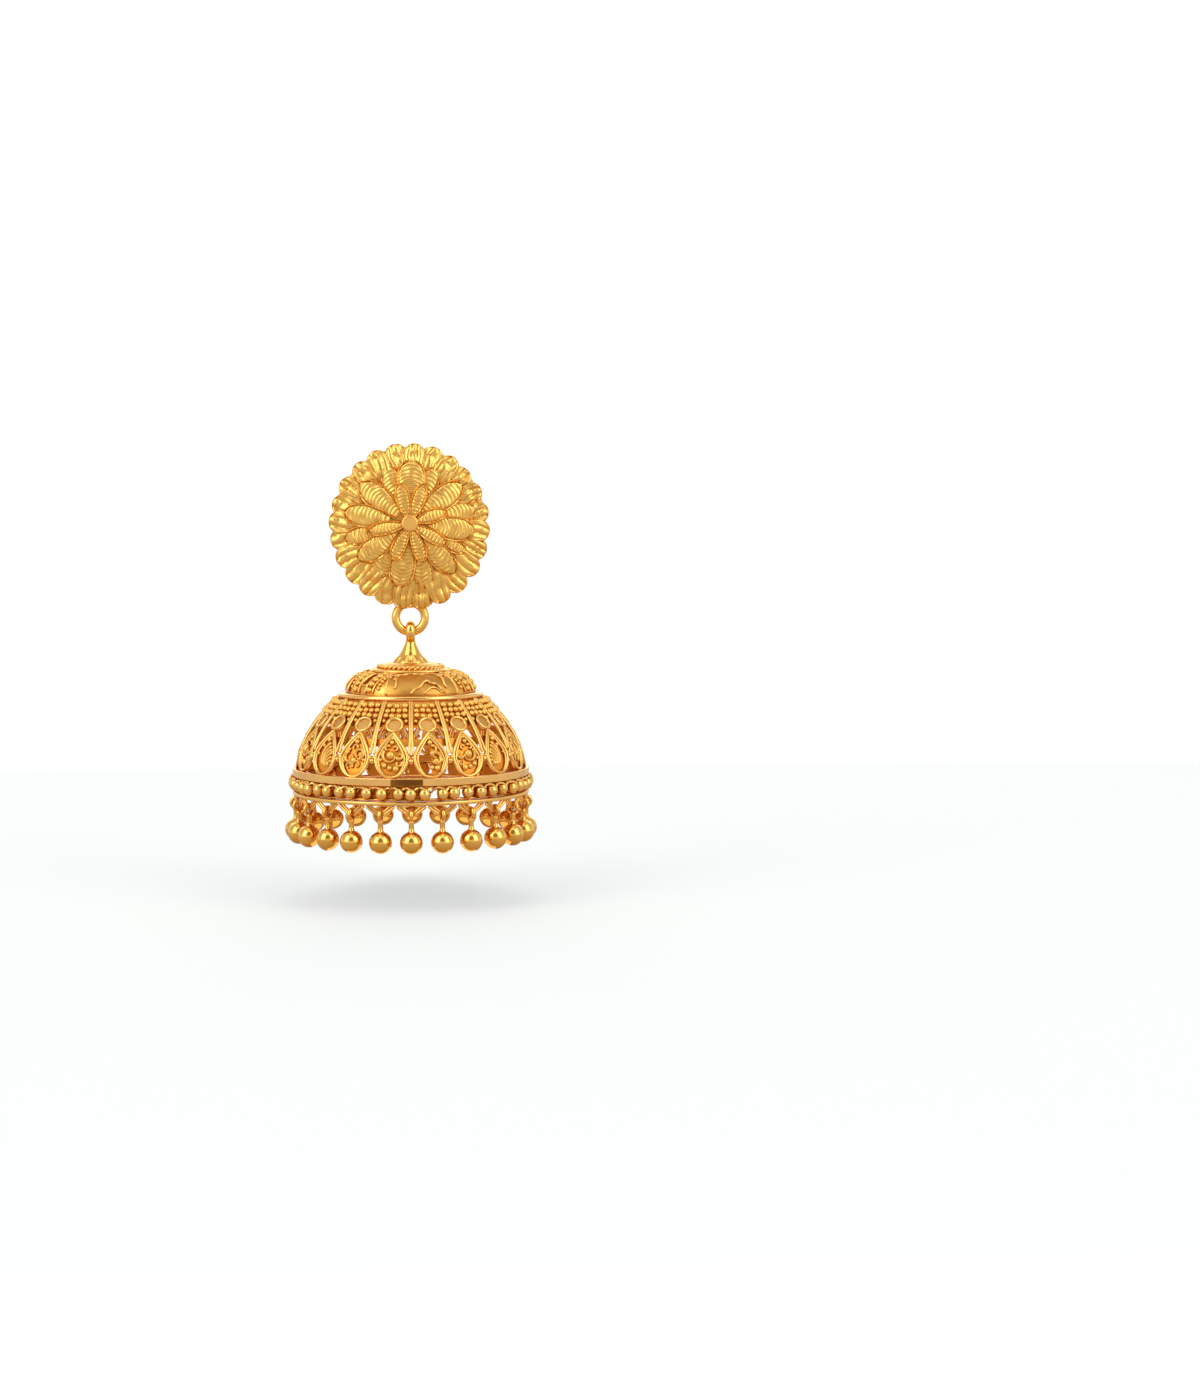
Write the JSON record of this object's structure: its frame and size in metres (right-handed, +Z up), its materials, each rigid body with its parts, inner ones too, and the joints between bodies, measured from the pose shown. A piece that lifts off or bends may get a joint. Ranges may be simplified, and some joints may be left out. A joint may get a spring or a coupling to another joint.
{
  "type": "jhumka earring",
  "caption": "Gold jhumka earring: a flower-shaped ear stud with a wire ring, and a pierced bell-shaped drop fringed with small polished balls.",
  "frame": {"origin": "centre of the flower's flat back, where the ear post leaves it and the earlobe sits", "axes": "+Z up, the flower faces -Y, and the ear post points along +Y"},
  "size_m": [0.0252, 0.0252, 0.0395],
  "materials": {
    "polished_gold": "polished 22 carat gold, warm and mirror-like",
    "frosted_gold": "matte 22 carat gold with fine wire and grain work"
  },
  "bodies": {
    "stud": {"rosette": "frosted_gold", "ear_post": "polished_gold", "hanging_ring": "polished_gold"},
    "drop": {"finial": "polished_gold", "crown": "frosted_gold", "upper_dome": "frosted_gold", "hoop": "polished_gold", "skirt": "frosted_gold", "band": "polished_gold", "bead_belt": "polished_gold", "rim": "polished_gold", "ball_drop_01": "polished_gold", "ball_drop_02": "polished_gold", "ball_drop_03": "polished_gold", "ball_drop_04": "polished_gold", "ball_drop_05": "polished_gold", "ball_drop_06": "polished_gold", "ball_drop_07": "polished_gold", "ball_drop_08": "polished_gold", "ball_drop_09": "polished_gold", "ball_drop_10": "polished_gold", "ball_drop_11": "polished_gold", "ball_drop_12": "polished_gold", "ball_drop_13": "polished_gold", "ball_drop_14": "polished_gold", "ball_drop_15": "polished_gold", "ball_drop_16": "polished_gold", "ball_drop_17": "polished_gold", "ball_drop_18": "polished_gold", "ball_drop_19": "polished_gold", "ball_drop_20": "polished_gold", "ball_drop_21": "polished_gold", "ball_drop_22": "polished_gold", "ball_drop_23": "polished_gold", "ball_drop_24": "polished_gold"}
  },
  "joints": [
    {"name": "drop_swing", "type": "hinge", "parent": "stud", "child": "drop", "pos_m": [0, 0.00047, -0.01083], "axis": [1, 0, 0], "range_deg": [-75, 75]}
  ]
}
